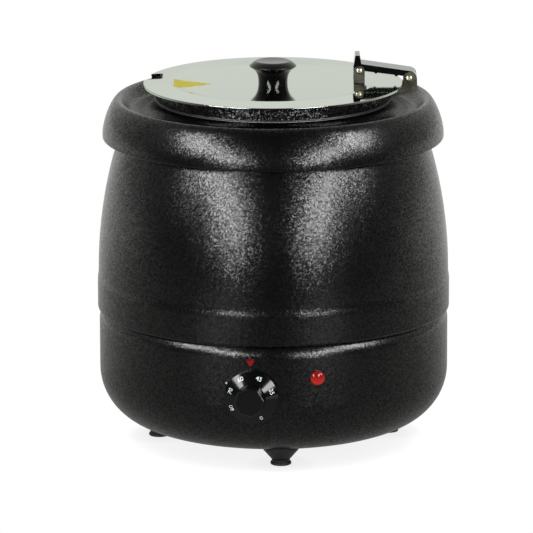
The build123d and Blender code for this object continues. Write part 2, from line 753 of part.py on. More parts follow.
def internal_wiring():
    """Wires between the terminal block, thermostat, cut-out, element and lamp."""
    frame = terminal_frame()
    block_left = tuple(frame.from_local_coords((TERMINAL_XS[0], -8, 4)))
    block_right = tuple(frame.from_local_coords((TERMINAL_XS[-1], -8, 4)))
    left_leg = polar(ELEMENT_CIRCLE_R, element_ends()[0], LEG_PIN_Z)
    right_leg = polar(ELEMENT_CIRCLE_R, element_ends()[1], LEG_PIN_Z)
    cutout_z = WELL_Z - 2 * ELEMENT_R - CLAMP_T - CUTOUT_TAG_DROP
    cutout_left = (CUTOUT_X - CUTOUT_TAG_X, CUTOUT_Y, cutout_z)
    cutout_right = (CUTOUT_X + CUTOUT_TAG_X, CUTOUT_Y, cutout_z)
    inward = (-polar(1, TERMINAL_ANGLE)[0], -polar(1, TERMINAL_ANGLE)[1], 0)
    stat = wall_frame(DIAL_ANGLE, STAT_BACK, DIAL_Z)
    stat_low = tuple(stat.from_local_coords((8, -8, 0)))
    stat_side = tuple(stat.from_local_coords((12, 10, 0)))
    stat_left = tuple(stat.from_local_coords((-12, -16, 0)))
    outward = polar(1, DIAL_ANGLE)
    lamp = wall_frame(LAMP_ANGLE, BASE_R, LAMP_Z)
    lamp_tag = tuple(lamp.from_local_coords((-3, 0, LAMP_TAG_Z)))
    up = (0, 0, 1)
    runs = [
        ([block_right, left_leg], inward, up),
        ([block_left, polar(55, 175, 32), polar(98, 256, 34), stat_left], inward, outward),
        ([cutout_left, polar(80, 283, 32), stat_low], (0, 0, -1), outward),
        ([cutout_right, polar(55, 20, 24), right_leg], (0, 0, -1), up),
        ([lamp_tag, polar(127, 276, 96), stat_side], polar(-1, LAMP_ANGLE), outward),
    ]
    wires = []
    for points, start_dir, end_dir in runs:
        path = Spline(*points, tangents=[start_dir, end_dir], tangent_scalars=[0.3, 0.3])
        wires.append(rod_along(path, WIRE_R))
    return group(wires)


# ---- Feet and cover fasteners -----------------------------------------------------------
def base_outside():
    """Solid filled out to the outer surface of the base, to trim the feet against."""
    path = base_path(0.0)
    top = Line((base_upstand_radius(), UPSTAND_Z), (0, UPSTAND_Z))
    axis = Line((0, UPSTAND_Z), (0, BASE_Z))
    return turned(make_face(path + [top, axis]))


def feet():
    """Four conical feet, trimmed to the rounding of the base."""
    tip_z = 5.0
    over_z = 23.0
    cone = turned(polygon(
        (0, PAD_T),
        (FOOT_TIP_R, PAD_T),
        (FOOT_TIP_R, tip_z),
        (FOOT_TOP_R, BASE_Z),
        (FOOT_TOP_R, over_z),
        (0, over_z),
    ))
    cone -= disc(FOOT_POCKET_R, PAD_T, FOOT_POCKET_Z)
    cone -= disc(FOOT_SCREW_R + FIT_GAP, FOOT_POCKET_Z, over_z)
    outside = base_outside()
    return group([Pos(polar(FOOT_CIRCLE_R, a)) * cone - outside for a in FOOT_ANGLES])


def foot_pads():
    """Rubber pads that close the feet, each with a plug up into its foot."""
    edge_r = 0.8
    plug_r, plug_h = FOOT_POCKET_R - 0.3, 1.5
    pad = fillet(disc(PAD_R, 0, PAD_T).edges(), edge_r)
    pad += disc(plug_r, PAD_T - 0.5, PAD_T + plug_h)
    return group([Pos(polar(FOOT_CIRCLE_R, a)) * pad for a in FOOT_ANGLES])


def foot_screws():
    """Screw of each foot, with its nut on the floor of the base."""
    floor_z = BASE_Z + BASE_T + FIT_GAP
    head_r, head_h, nut_h = 4.6, 3.4, 4.0
    end_z = 25.0
    screw = disc(head_r, FOOT_POCKET_Z - head_h, FOOT_POCKET_Z)
    screw += disc(FOOT_SCREW_R, FOOT_POCKET_Z, end_z)
    nut = hexagon(head_r, floor_z, floor_z + nut_h, FOOT_SCREW_R + FIT_GAP)
    return group([Pos(polar(FOOT_CIRCLE_R, a)) * p for a in FOOT_ANGLES for p in (screw, nut)])


def cover_screws():
    """Four pan-head screws of the service cover, each with a cross recess."""
    low = BASE_Z - COVER_T
    head_r, head_h, end_z = 3.8, 2.0, 23.0
    cross_w, cross_l, cross_depth = 0.8, 4.2, 1.1
    screw = disc(head_r, low - head_h, low) + disc(COVER_SCREW_R, low, end_z)
    for size in ((cross_w, cross_l), (cross_l, cross_w)):
        screw -= Pos(0, 0, low - head_h) * Box(*size, 2 * cross_depth)
    return group([Pos(polar(COVER_SCREW_CIRCLE_R, a)) * screw for a in COVER_SCREW_ANGLES])


# ---- Pot, ring and hinge bracket --------------------------------------------------------
def soup_pot():
    """Removable steel pot that hangs in the well by a flange with a rolled edge."""
    seat_z = NECK_Z + WELL_T
    bead_in = POT_FLANGE_R - 2.2
    bead_r = POT_BEAD / 2
    round_r = POT_FLANGE_R - bead_r
    top_z = seat_z + POT_BEAD
    pot = deep_vessel(POT_R, POT_T, POT_Z, POT_CORNER, seat_z, round_r)
    bead = turned(make_face([
        Line((bead_in, seat_z), (round_r, seat_z)),
        CenterArc((round_r, seat_z + bead_r), bead_r, -90, 180),
        Line((round_r, top_z), (bead_in, top_z)),
        Line((bead_in, top_z), (bead_in, seat_z)),
    ]))
    return pot + bead


def notch_prism(grow, z0, z1):
    """Rounded slot from the notch's inner end out past the lid's edge, grown all round."""
    x0 = -LID_R - 12.0
    x1 = NOTCH_X + grow
    corner_r = 3.0
    slot = RectangleRounded(x1 - x0, NOTCH_W + 2 * grow, corner_r + grow)
    return Pos((x0 + x1) / 2, NOTCH_Y, z0) * extrude(slot, z1 - z0)


def bracket_rivet_frame(side):
    """Frame of a bracket rivet on the ring wall."""
    angle, z = 3.6, 341.0
    return wall_frame(side * angle, RING_R, z)


def lid_ring():
    """Ring that drops into the pot and carries the lid and hinge: an upside-down channel."""
    foot_z = NECK_Z + WELL_T + POT_BEAD
    edge_r = 2.0
    lip_edge = 1.5
    path = Wire([
        Line((RING_R, foot_z), (RING_R, RING_TOP_Z - edge_r)),
        CenterArc((RING_R - edge_r, RING_TOP_Z - edge_r), edge_r, 0, 90),
        Line((RING_R - edge_r, RING_TOP_Z), (RING_LIP_R + lip_edge, RING_TOP_Z)),
        CenterArc((RING_LIP_R + lip_edge, RING_TOP_Z - lip_edge), lip_edge, 90, 90),
        Line((RING_LIP_R, RING_TOP_Z - lip_edge), (RING_LIP_R, RING_LIP_Z)),
    ])
    ring = turned(sheet(path, RING_T))
    lip_room = LID_T + 1.2
    ring -= notch_prism(lip_room, NOTCH_LIP_Z - 1.5, RING_TOP_Z + 1)
    for side in (-1, 1):
        ring -= bracket_rivet_frame(side) * Cylinder(RIVET_R + FIT_GAP, 8)
    return ring


def ear_slab(outline):
    """A pair of ears cut from strip, one each side of the arm."""
    ears = []
    for y in (-EAR_OUT, EAR_IN):
        ears.append(Pos(0, y, 0) * extrude(Plane.XZ * outline, -(EAR_OUT - EAR_IN)))
    return ears[0] + ears[1]


def hinge_bracket():
    """Bracket on the ring: a curved back plate and two rounded ears for the arm's pivot."""
    back_r = RING_R + 0.05
    back_z0 = 336.0
    back_z1 = 346.0
    ear_r = 6.3
    ear_rise = 5.8
    left = LID_R + 0.7
    ear_x = left + ear_r
    outline = polygon(
        (RING_R - 2, back_z0),
        (ear_x + ear_r + 0.6, back_z0 + ear_rise),
        (ear_x + ear_r, PIVOT_Z),
        (left, PIVOT_Z),
        (left, back_z1),
        (RING_R - 2, back_z1),
    )
    outline += Pos(ear_x, PIVOT_Z) * Circle(ear_r)
    back = disc(back_r + STRIP, back_z0, back_z1, back_r)
    back &= block((0, -EAR_OUT, back_z0), (LID_R, EAR_OUT, back_z1))
    bracket = ear_slab(outline) + back - disc(back_r, back_z0 - 1, back_z1 + 1)
    bracket -= cross_pin(PIVOT_X, PIVOT_Z, PIN_R + FIT_GAP, 2 * EAR_OUT)
    for side in (-1, 1):
        bracket -= bracket_rivet_frame(side) * Cylinder(RIVET_R + FIT_GAP, 8)
    return bracket


def domed_pin(x, z, radius, head_r, head_h):
    """Riveted hinge pin with a domed head at each end."""
    pin = cross_pin(x, z, radius, EAR_OUT + 0.2)
    flat_r = 0.6
    dome = make_face([
        Line((0, 0), (head_r, 0)),
        ThreePointArc((head_r, 0), (head_r * 0.75, head_h * 0.75), (flat_r, head_h)),
        Line((flat_r, head_h), (0, head_h)),
        Line((0, head_h), (0, 0)),
    ])
    head = turned(dome)
    for side in (-1, 1):
        pin += Pos(x, side * (EAR_OUT + 0.02), z) * Rot(-90 * side, 0, 0) * head
    return pin


def hinge_pin():
    """Pin on which the arm turns in the ring's bracket."""
    head_r, head_h = 3.5, 2.0
    return domed_pin(PIVOT_X, PIVOT_Z, PIN_R, head_r, head_h)


def bracket_rivets():
    """Two rivets that hold the bracket to the ring wall."""
    rivets = []
    for side in (-1, 1):
        head = Pos(0, 0, 0.05 + STRIP) * Cylinder(RIVET_HEAD_R, 1.1, align=ON_END)
        shank = Pos(0, 0, -RING_T - 0.2) * Cylinder(RIVET_R, RING_T + STRIP + 0.4, align=ON_END)
        tail = Pos(0, 0, -RING_T - 1.05) * Cylinder(RIVET_TAIL_R, 1.0, align=ON_END)
        rivets.append(bracket_rivet_frame(side) * (head + shank + tail))
    return group(rivets)


# ---- Hinge arm --------------------------------------------------------------------------
def arm_line_z(x):
    """Height of the arm's top surface, a straight fall towards the pivot."""
    slope = math.radians(ARM_SLOPE)
    touch_x = PIVOT_X + ARM_KNUCKLE_R * math.sin(slope)
    touch_z = PIVOT_Z + ARM_KNUCKLE_R * math.cos(slope)
    return touch_z + (touch_x - x) * math.tan(slope)


def hinge_arm():
    """Folded strip arm: web, side flanges with pivot lobes and nubs, and a raised thumb lip."""
    lip_x0, lip_x1, lip_x2, lip_x3 = 77.4, 78.8, 83.1, 84.6
    lip_top = 376.4
    lip_foot = 366.8
    touch_x = PIVOT_X + ARM_KNUCKLE_R * math.sin(math.radians(ARM_SLOPE))
    knuckle_end = -20.0
    web_path = Wire([
        CenterArc((PIVOT_X, PIVOT_Z), ARM_KNUCKLE_R, knuckle_end, 90 - ARM_SLOPE - knuckle_end),
        Line((touch_x, arm_line_z(touch_x)), (lip_x3, arm_line_z(lip_x3))),
        Line((lip_x3, arm_line_z(lip_x3)), (lip_x2, lip_top)),
        Line((lip_x2, lip_top), (lip_x1, lip_top)),
        Line((lip_x1, lip_top), (lip_x0, lip_foot)),
    ])
    web_face = sheet(web_path, STRIP)
    web = Pos(0, ARM_HALF_W, 0) * extrude(Plane.XZ * web_face, 2 * ARM_HALF_W)
    flange = polygon(
        (lip_x0 + 0.3, lip_foot + 0.2),
        (lip_x1 + 0.3, lip_top - 0.3),
        (lip_x2 - 0.3, lip_top - 0.3),
        (lip_x3 - 0.3, arm_line_z(lip_x3) - 0.05),
        (touch_x, arm_line_z(touch_x) - 0.05),
        (touch_x, arm_line_z(touch_x) - ARM_DEPTH),
        (lip_x3 - 6.0, arm_line_z(lip_x3) - ARM_DEPTH),
        (lip_x0 + 0.3, arm_line_z(lip_x3) - ARM_DEPTH),
    )
    lobe_r, heel_r, nub_r = 4.6, 5.0, 1.6
    flange += Pos(LID_PIVOT_X, LID_PIVOT_Z) * Circle(lobe_r)
    flange += Pos(PIVOT_X, PIVOT_Z) * Circle(heel_r)
    for x in (98.5, 118.0):
        flange += Pos(x, arm_line_z(x) - ARM_DEPTH) * Circle(nub_r)
    arm = web
    for y in (-ARM_HALF_W, ARM_HALF_W - STRIP):
        arm += Pos(0, y, 0) * extrude(Plane.XZ * flange, -STRIP)
    arm -= cross_pin(PIVOT_X, PIVOT_Z, PIN_R + RUN_GAP, 2 * ARM_HALF_W)
    arm -= cross_pin(LID_PIVOT_X, LID_PIVOT_Z, LID_PIN_R + RUN_GAP, 2 * ARM_HALF_W)
    return arm


# ---- Lid --------------------------------------------------------------------------------
def lid_plate():
    """Polished lid: flat centre, raised crown, falling band, turned-down hem, ladle notch."""
    edge_r = 0.6
    path = Wire([
        Line((LID_R, LID_HEM_Z), (LID_R, LID_EDGE_Z - edge_r)),
        CenterArc((LID_R - edge_r, LID_EDGE_Z - edge_r), edge_r, 0, 90),
        Line((LID_R - edge_r, LID_EDGE_Z), (LID_CROWN_R, LID_CROWN_Z)),
        Line((LID_CROWN_R, LID_CROWN_Z), (LID_FLAT_R, LID_Z)),
        Line((LID_FLAT_R, LID_Z), (0, LID_Z)),
    ])
    screw_hole_r = KNOB_SCREW_R + HOLE_GAP
    plate = turned(sheet(path, LID_T)) + notch_lip()
    plate -= notch_prism(0, NOTCH_LIP_Z - 1, LID_CROWN_Z + 1)
    plate -= disc(screw_hole_r, LID_HEM_Z - 1, LID_Z + 1)
    for side in (-1, 1):
        plate -= Pos(LID_PIVOT_X, side * LID_RIVET_Y, LID_Z) * Cylinder(RIVET_R + FIT_GAP, 6)
    return plate


def lid_top():
    """Solid filled up to the lid's upper surface, to trim pieces that lie on the lid."""
    low_z = LID_Z - 5
    return turned(polygon(
        (0, low_z),
        (LID_R, low_z),
        (LID_R, LID_EDGE_Z),
        (LID_CROWN_R, LID_CROWN_Z),
        (LID_FLAT_R, LID_Z),
        (0, LID_Z),
    ))


def notch_lip():
    """Turned-down lip round the three sides of the ladle notch."""
    wall = notch_prism(LID_T, NOTCH_LIP_Z, LID_EDGE_Z - 0.2)
    return wall & disc(LID_R - 0.3, NOTCH_LIP_Z, LID_EDGE_Z)


def lid_bracket():
    """Bracket on the lid: a foot plate and two ears that straddle the arm."""
    half = 5.2
    foot_half_w = 21.0
    bend_r = 1.6
    left, right = LID_PIVOT_X - half, LID_PIVOT_X + half
    over = LID_Z + STRIP
    shoulder_z = LID_PIVOT_Z - 0.6
    outline = polygon((left, LID_Z), (right, LID_Z), (right, shoulder_z), (left, shoulder_z))
    outline += Pos(LID_PIVOT_X, shoulder_z) * Circle(half)
    bracket = block((left, -foot_half_w, LID_Z), (right, foot_half_w, over)) + ear_slab(outline)
    for side in (-1, 1):
        ear_y = side * EAR_OUT
        bend_y = side * (EAR_OUT + bend_r)
        bend = block((left, min(ear_y, bend_y), over), (right, max(ear_y, bend_y), over + bend_r))
        hollow = Pos(LID_PIVOT_X, bend_y, over + bend_r) * Rot(0, 90, 0) * Cylinder(bend_r, 3 * half)
        bracket += bend - hollow
        bracket -= Pos(LID_PIVOT_X, side * LID_RIVET_Y, LID_Z) * Cylinder(RIVET_R + FIT_GAP, 6)
    bracket -= cross_pin(LID_PIVOT_X, LID_PIVOT_Z, LID_PIN_R + FIT_GAP, 2 * EAR_OUT)
    return bracket - lid_top()


def lid_bracket_rivets():
    """Two rivets through the bracket's foot and the lid."""
    head_h = 1.0
    over = LID_Z + STRIP
    under = LID_Z - LID_T
    rivet = disc(RIVET_HEAD_R, over, over + head_h) + disc(RIVET_R, under - 0.5, over + 0.2)
    rivet += disc(RIVET_TAIL_R, under - head_h, under)
    return group([Pos(LID_PIVOT_X, side * LID_RIVET_Y, 0) * rivet for side in (-1, 1)])


def lid_pin():
    """Pin on which the lid turns in the arm."""
    head_r, head_h = 3.4, 1.8
    return domed_pin(LID_PIVOT_X, LID_PIVOT_Z, LID_PIN_R, head_r, head_h)


def lid_knob():
    """Waisted knob with an overhanging cap and a slightly dished top."""
    waist_r = 14.0
    flare_r, flare_z = 17.6, 12.2
    cap_r, cap_z = 22.6, 16.4
    top_r, top_z = 15.4, 21.2
    dish = 1.0
    flat_r = 1.0
    section = make_face([
        Line((0, 0), (waist_r, 0)),
        Bezier((waist_r, 0), (waist_r, 6.0), (15.0, 9.0), (flare_r, flare_z)),
        Line((flare_r, flare_z), (cap_r - 0.6, cap_z - 0.6)),
        ThreePointArc((cap_r - 0.6, cap_z - 0.6), (cap_r, cap_z), (cap_r - 0.6, cap_z + 0.6)),
        Bezier((cap_r - 0.6, cap_z + 0.6), (19.0, 20.0), (17.0, 21.2), (top_r, top_z)),
        ThreePointArc((top_r, top_z), (top_r / 2, top_z - 0.75 * dish), (flat_r, top_z - dish)),
        Line((flat_r, top_z - dish), (0, top_z - dish)),
        Line((0, top_z - dish), (0, 0)),
    ])
    knob = Pos(0, 0, LID_Z) * turned(section)
    return knob - disc(KNOB_SCREW_R + FIT_GAP, LID_Z - 1, LID_Z + KNOB_SCREW_DEPTH + 0.5)


def knob_screw():
    """Screw from under the lid into the knob."""
    under = LID_Z - LID_T - KNOB_WASHER_T
    head_r, head_h = 4.6, 2.8
    screw = disc(head_r, under - head_h, under)
    return screw + disc(KNOB_SCREW_R, under, LID_Z + KNOB_SCREW_DEPTH)


def knob_washer():
    """Washer under the lid, below the knob."""
    under = LID_Z - LID_T
    washer_r = 8.0
    return disc(washer_r, under - KNOB_WASHER_T, under, KNOB_SCREW_R + FIT_GAP)


def lid_sticker():
    """Plain triangular sticker on the lid, bent a little where it climbs the crown."""
    apex_x, base_x, y, half = -58.0, -95.0, -8.0, 21.0
    thickness = 0.15
    face = polygon((apex_x, y), (base_x, y + half), (base_x, y - half))
    prism = Pos(0, 0, LID_Z - 1) * extrude(fillet(face.vertices(), 1.0), 4)
    return (prism & Pos(0, 0, thickness) * lid_top()) - lid_top()


# ---- Export -----------------------------------------------------------------------------
PARTS = [
    upper_shell,
    base_shell,
    bottom_cover,
    top_rim,
    heat_well,
    insulation_jacket,
    heating_element,
    element_clamp,
    tie_bolt,
    tie_nuts,
    thermal_cutout,
    thermostat_body,
    thermostat_screws,
    thermostat_bulb,
    bulb_clip,
    dial_index,
    pilot_lamp_lens,
    pilot_lamp_body,
    pilot_lamp_nut,
    terminal_block,
    terminal_screws,
    internal_wiring,
    cable_gland,
    gland_nut,
    mains_lead,
    mains_plug,
    plug_pins,
    feet,
    foot_pads,
    foot_screws,
    cover_screws,
    thermostat_shaft,
    temperature_dial,
    soup_pot,
    lid_ring,
    hinge_bracket,
    bracket_rivets,
    hinge_pin,
    hinge_arm,
    lid_plate,
    lid_bracket,
    lid_bracket_rivets,
    lid_pin,
    lid_knob,
    knob_screw,
    knob_washer,
    lid_sticker,
]

for make in PARTS:
    export_step(make(), f"parts/{make.__name__}.step")
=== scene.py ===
import json
import math

import bpy
from mathutils import Matrix, Vector


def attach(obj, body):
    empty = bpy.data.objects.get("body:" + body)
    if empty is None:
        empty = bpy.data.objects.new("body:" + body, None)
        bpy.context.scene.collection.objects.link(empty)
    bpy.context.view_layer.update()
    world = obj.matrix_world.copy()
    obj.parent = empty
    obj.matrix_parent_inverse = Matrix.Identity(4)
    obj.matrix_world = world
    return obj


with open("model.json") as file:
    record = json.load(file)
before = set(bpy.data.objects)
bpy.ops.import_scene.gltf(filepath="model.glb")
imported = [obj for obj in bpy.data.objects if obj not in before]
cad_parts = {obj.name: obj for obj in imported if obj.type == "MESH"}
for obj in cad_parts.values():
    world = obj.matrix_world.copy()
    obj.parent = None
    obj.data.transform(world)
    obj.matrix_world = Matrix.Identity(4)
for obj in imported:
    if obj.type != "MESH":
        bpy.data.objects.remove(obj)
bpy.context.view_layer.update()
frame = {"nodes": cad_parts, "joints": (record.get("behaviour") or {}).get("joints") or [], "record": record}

NODES = frame["nodes"]
JOINTS = {joint["name"]: joint for joint in frame["joints"]}
MM = 0.001


# ---- Shader nodes -----------------------------------------------------------------------
NOISE_SPAN = (0.3, 0.7)         # most of a noise texture's values lie in here


def shader(name, color, metallic, roughness, **inputs):
    """New node material with its Principled shader set."""
    mat = bpy.data.materials.new(name)
    mat.use_nodes = True
    tree = mat.node_tree
    bsdf = tree.nodes["Principled BSDF"]
    bsdf.inputs["Base Color"].default_value = (*color, 1)
    bsdf.inputs["Metallic"].default_value = metallic
    bsdf.inputs["Roughness"].default_value = roughness
    for key, value in inputs.items():
        bsdf.inputs[key.replace("_", " ")].default_value = value
    return mat, tree, bsdf


def position(tree):
    """Position in the piece's own space, which is the room's space at rest."""
    return tree.nodes.new("ShaderNodeTexCoord").outputs["Object"]


def room_normal(tree):
    """Normal of the surface, in the room's space."""
    return tree.nodes.new("ShaderNodeNewGeometry").outputs["Normal"]


def texture(tree, kind, scale, stretch=(1, 1, 1), turn=(0, 0, 0), **settings):
    """Texture node in object space. Scale is in cells per metre."""
    mapping = tree.nodes.new("ShaderNodeMapping")
    mapping.inputs["Scale"].default_value = stretch
    mapping.inputs["Rotation"].default_value = turn
    tex = tree.nodes.new("ShaderNodeTex" + kind)
    tex.inputs["Scale"].default_value = scale
    for key, value in settings.items():
        if key in tex.inputs:
            tex.inputs[key].default_value = value
        else:
            setattr(tex, key, value)
    tree.links.new(position(tree), mapping.inputs["Vector"])
    tree.links.new(mapping.outputs["Vector"], tex.inputs["Vector"])
    return tex


def value_of(tex):
    """Grey output of a texture node."""
    return tex.outputs["Distance" if "Distance" in tex.outputs else "Fac"]


def grey_noise(tree, scale, detail, **settings):
    """Grey output of a noise texture."""
    return value_of(texture(tree, "Noise", scale, Detail=detail, **settings))


def remap(tree, source, span, start, end):
    """Grey value that runs from start to end as the source crosses a span."""
    node = tree.nodes.new("ShaderNodeMapRange")
    node.inputs["From Min"].default_value = span[0]
    node.inputs["From Max"].default_value = span[1]
    node.inputs["To Min"].default_value = start
    node.inputs["To Max"].default_value = end
    tree.links.new(source, node.inputs["Value"])
    return node.outputs["Result"]


def blend_colors(tree, source, span, first, second):
    """Colour that runs from the first to the second as the source crosses a span."""
    mix = tree.nodes.new("ShaderNodeMix")
    mix.data_type = "RGBA"
    mix.inputs["A"].default_value = (*first, 1)
    mix.inputs["B"].default_value = (*second, 1)
    tree.links.new(remap(tree, source, span, 0, 1), mix.inputs["Factor"])
    return mix.outputs["Result"]


def vary_color(tree, bsdf, source, span, first, second):
    """Lets the base colour follow a grey value."""
    tree.links.new(blend_colors(tree, source, span, first, second), bsdf.inputs["Base Color"])


def vary_roughness(tree, bsdf, noise, start, end):
    """Lets the roughness follow a noise texture."""
    tree.links.new(remap(tree, noise, NOISE_SPAN, start, end), bsdf.inputs["Roughness"])


def dimmed(color, share):
    """Colour with each part multiplied by a share."""
    return [part * share for part in color]


def bump(tree, bsdf, source, strength, height, before=None):
    """Adds a bump layer over an earlier normal. Height is the relief's height in metres."""
    node = tree.nodes.new("ShaderNodeBump")
    node.inputs["Strength"].default_value = strength
    node.inputs["Distance"].default_value = height
    tree.links.new(source, node.inputs["Height"])
    if before:
        tree.links.new(before, node.inputs["Normal"])
    tree.links.new(node.outputs["Normal"], bsdf.inputs["Normal"])
    return node.outputs["Normal"]


def vector_math(tree, operation, first, second=None):
    """Output of a vector maths node. The second input is a node's output or a plain tuple."""
    node = tree.nodes.new("ShaderNodeVectorMath")
    node.operation = operation
    tree.links.new(first, node.inputs[0])
    if isinstance(second, tuple):
        node.inputs[1].default_value = second
    elif second is not None:
        tree.links.new(second, node.inputs[1])
    return node.outputs["Value" if operation == "DISTANCE" else "Vector"]


def added(tree, first, second):
    """Unit vector along the sum of two vectors."""
    return vector_math(tree, "NORMALIZE", vector_math(tree, "ADD", first, second))


def combine(tree, operation, first, second):
    """Output of a maths node on two grey values."""
    node = tree.nodes.new("ShaderNodeMath")
    node.operation = operation
    tree.links.new(first, node.inputs[0])
    tree.links.new(second, node.inputs[1])
    return node.outputs["Value"]


def part_of(tree, vector, axis):
    """One coordinate of a vector, as a grey value."""
    parts = tree.nodes.new("ShaderNodeSeparateXYZ")
    tree.links.new(vector, parts.inputs["Vector"])
    return parts.outputs[axis]


def axis_distance(tree):
    """Distance from the kettle's axis, in metres."""
    flat = vector_math(tree, "MULTIPLY", position(tree), (1, 1, 0))
    return vector_math(tree, "DISTANCE", flat, (0, 0, 0))


# ---- Materials --------------------------------------------------------------------------
PEBBLES = 900                   # pebbles of the powder coat per metre
FINE_PEBBLES = 1500
COAT_DARK = (0.0005, 0.0005, 0.0004)
COAT_LIGHT = (0.0012, 0.0012, 0.0011)
COAT_ROUGHNESS = (0.215, 0.245)
COAT_GLINT = (0.25, 0.75)       # gloss of the dullest and the brightest pebbles
COAT_FADE = 0.018               # metres over which the painted shade in the dish fades out
SHADE_SHARE = 0.1                # share of the gloss left under the painted shade


def facets(tree, scale, spread, before):
    """Normal that tips at random in each small cell, like the pebbles of a textured coat."""
    cells = texture(tree, "Voronoi", scale)
    centred = vector_math(tree, "SUBTRACT", cells.outputs["Color"], (0.5, 0.5, 0.5))
    tips = vector_math(tree, "SCALE", centred)
    tips.node.inputs["Scale"].default_value = spread
    return added(tree, before, tips)


def powder_coat(name, spread, shade_within=0.0):
    """Black textured powder coat: small pebbles, each tipped its own way, that sparkle.

    Nearer the kettle's axis than the given radius, its gloss is cut as painted shade in the rim's dish.
    """
    mat, tree, bsdf = shader(name, (0.001, 0.001, 0.001), 0, 0.2)
    coarse = facets(tree, PEBBLES, spread, room_normal(tree))
    fine = facets(tree, FINE_PEBBLES, spread * 0.5, coarse)
    tree.links.new(fine, bsdf.inputs["Normal"])
    vary_roughness(tree, bsdf, grey_noise(tree, scale=22, detail=3.0), *COAT_ROUGHNESS)
    pebbles = texture(tree, "Voronoi", PEBBLES)
    glint = remap(tree, pebbles.outputs["Color"], (0.15, 0.85), *COAT_GLINT)
    # Painted shade: the gloss is cut close to the axis.
    if shade_within:
        fade = (shade_within, shade_within + COAT_FADE)
        dish_shade = remap(tree, axis_distance(tree), fade, SHADE_SHARE, 1)
        glint = combine(tree, "MULTIPLY", glint, dish_shade)
    tree.links.new(glint, bsdf.inputs["Specular IOR Level"])
    vary_color(tree, bsdf, value_of(pebbles), (0.1, 0.7), COAT_DARK, COAT_LIGHT)
    return mat


UNDERSIDE = (-0.5, -0.1)        # upward part of the normal, from brushed and painted-shaded to polished
BRUSHED_ROUGHNESS = 0.5
# tone of the underside: painted shade, darkening the steel where it faces down
UNDERSIDE_SHADE_TONE = 0.45
TURNING_RELIEF = 0.00002        # metres


def dished(tree, hollow):
    """Normal of a plate that's very slightly hollow. Hollow is the slope gained per metre out."""
    lean = vector_math(tree, "MULTIPLY", position(tree), (-hollow, -hollow, 0))
    return added(tree, room_normal(tree), lean)


def turned_steel(name, color, roughness, ring_scale, relief, hollow):
    """Mirror-polished steel with faint turning marks, very slightly hollow, brushed underneath, where its
    colour is also darkened as painted shade.
    """
    mat, tree, bsdf = shader(name, color, 1, roughness)
    rings = value_of(texture(
        tree, "Wave", ring_scale, wave_type="RINGS", rings_direction="Z",
        Distortion=1.5, Detail=3.0, **{"Detail Scale": 2.0},
    ))
    haze = grey_noise(tree, scale=30, detail=5.0)
    specks = grey_noise(tree, scale=2600, detail=1.0)
    facing = part_of(tree, tree.nodes.new("ShaderNodeTexCoord").outputs["Normal"], "Z")
    polished = remap(tree, haze, NOISE_SPAN, roughness * 0.75, roughness * 1.3)
    brushed = remap(tree, facing, UNDERSIDE, BRUSHED_ROUGHNESS, 0)
    tree.links.new(combine(tree, "MAXIMUM", polished, brushed), bsdf.inputs["Roughness"])
    # Painted shade: the colour darkens where the steel faces down.
    vary_color(tree, bsdf, facing, UNDERSIDE, dimmed(color, UNDERSIDE_SHADE_TONE), color)
    marks = bump(tree, bsdf, rings, relief, TURNING_RELIEF, dished(tree, hollow))
    bump(tree, bsdf, specks, relief * 0.5, TURNING_RELIEF, marks)
    return mat


SHADE_EDGE = 0.0005              # metres over which the painted shade on drawn steel's top sets in
# tone left under the painted shade
SHADE_TONE = 0.3


def dull_top(tree, color, height):
    """Colour that's darkened above a height in metres, as painted shade."""
    edge = (height - SHADE_EDGE, height)
    # Painted shade: the colour darkens above the height.
    tarnish_and_shade = remap(tree, part_of(tree, position(tree), "Z"), edge, 1, SHADE_TONE)
    darker = vector_math(tree, "SCALE", color)
    tree.links.new(tarnish_and_shade, darker.node.inputs["Scale"])
    return darker


def drawn_steel(name, color, roughness, shade_above=None):
    """Deep-drawn sheet: fine lines run round the wall. Darkened above a given height in metres, as painted
    shade.
    """
    mat, tree, bsdf = shader(name, color, 1, roughness, Anisotropic=0.35)
    lines = grey_noise(tree, scale=40, detail=6.0, stretch=(1, 1, 60))
    haze = grey_noise(tree, scale=14, detail=4.0)
    vary_roughness(tree, bsdf, haze, roughness * 0.9, roughness * 1.15)
    bump(tree, bsdf, lines, strength=0.10, height=0.0002)
    tone = blend_colors(tree, lines, NOISE_SPAN, dimmed(color, 0.86), color)
    # Painted shade on the sheet above the given height.
    if shade_above:
        tone = dull_top(tree, tone, shade_above)
    tree.links.new(tone, bsdf.inputs["Base Color"])
    return mat


def strip_steel(name, color, roughness, relief):
    """Cut and polished strip with fine scratches in two directions and soft stains."""
    mat, tree, bsdf = shader(name, color, 1, roughness)
    along = grey_noise(tree, scale=120, detail=5.0, stretch=(0.6, 14, 14))
    across = grey_noise(tree, scale=160, detail=4.0, stretch=(10, 0.8, 10), turn=(0, 0, 0.4))
    stains = grey_noise(tree, scale=90, detail=3.0)
    vary_roughness(tree, bsdf, stains, roughness * 0.7, roughness * 1.4)
    scratches = bump(tree, bsdf, along, 0.12 * relief, height=0.00012)
    bump(tree, bsdf, across, 0.08 * relief, height=0.0001, before=scratches)
    vary_color(tree, bsdf, stains, (0.3, 0.75), dimmed(color, 0.8), color)
    return mat


def zinc():
    """Zinc-plated fasteners: small crystals with varied brightness."""
    mat, tree, bsdf = shader("zinc_plating", (0.58, 0.58, 0.54), 1, 0.34)
    crystals = value_of(texture(tree, "Voronoi", 900))
    grain = grey_noise(tree, scale=1800, detail=3.0)
    vary_color(tree, bsdf, crystals, (0.0, 0.8), (0.62, 0.62, 0.57), (0.42, 0.42, 0.40))
    vary_roughness(tree, bsdf, grain, 0.26, 0.44)
    bump(tree, bsdf, grain, strength=0.12, height=0.0001)
    return mat


